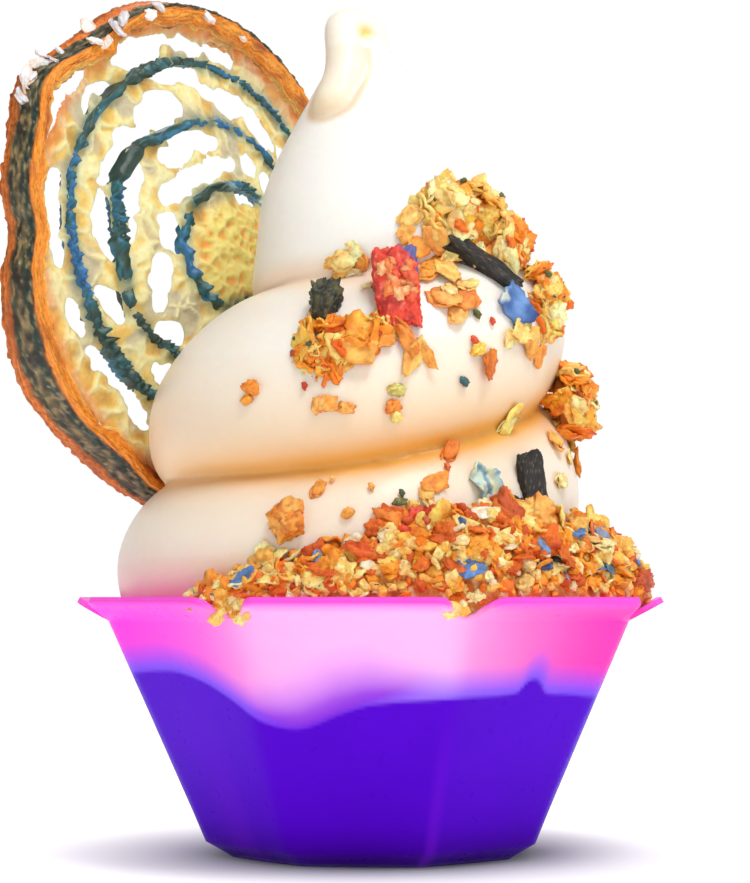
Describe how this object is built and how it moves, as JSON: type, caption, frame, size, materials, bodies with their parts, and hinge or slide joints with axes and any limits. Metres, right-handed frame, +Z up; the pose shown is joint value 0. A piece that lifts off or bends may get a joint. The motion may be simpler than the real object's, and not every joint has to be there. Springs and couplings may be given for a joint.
{
  "type": "frozen yogurt cup",
  "caption": "Tall swirl of frozen yogurt over a berry layer in an eight-sided plastic cup, with a round pastry crisp and crushed pastry topping.",
  "frame": {"origin": "middle of the flat foot of the cup, on the surface it stands on", "axes": "+Z up through the swirl, -Y towards the front with the heap of crumbs, +X to the right of the front"},
  "size_m": [0.1092, 0.1027, 0.1466],
  "materials": {
    "pink_plastic": "satin translucent",
    "berry_puree": "moist puree",
    "yogurt_cream": "smooth moist cream",
    "crisp_pastry": "dry baked lace",
    "crushed_pastry": "dry crumb",
    "flaky_pastry": "dry flaky crumb",
    "dried_red_fruit": "dry porous",
    "dark_crust": "dry speckled crust",
    "blue_petal": "dry satin",
    "pale_petal": "dry translucent"
  },
  "bodies": {
    "root": {"cup": "pink_plastic", "berry_layer": "berry_puree", "yogurt": "yogurt_cream", "pastry_crisp": "crisp_pastry", "crumb_heap": "crushed_pastry", "flakes_on_peak": "flaky_pastry", "flakes_on_front": "flaky_pastry", "flakes_on_edge": "flaky_pastry", "flakes_on_side": "flaky_pastry", "pastry_nugget": "flaky_pastry", "red_fruit_piece": "dried_red_fruit", "dark_crumb": "dark_crust", "dark_strip": "dark_crust", "black_sheet": "dark_crust", "blue_petal": "blue_petal", "pale_petal": "pale_petal"}
  },
  "joints": []
}
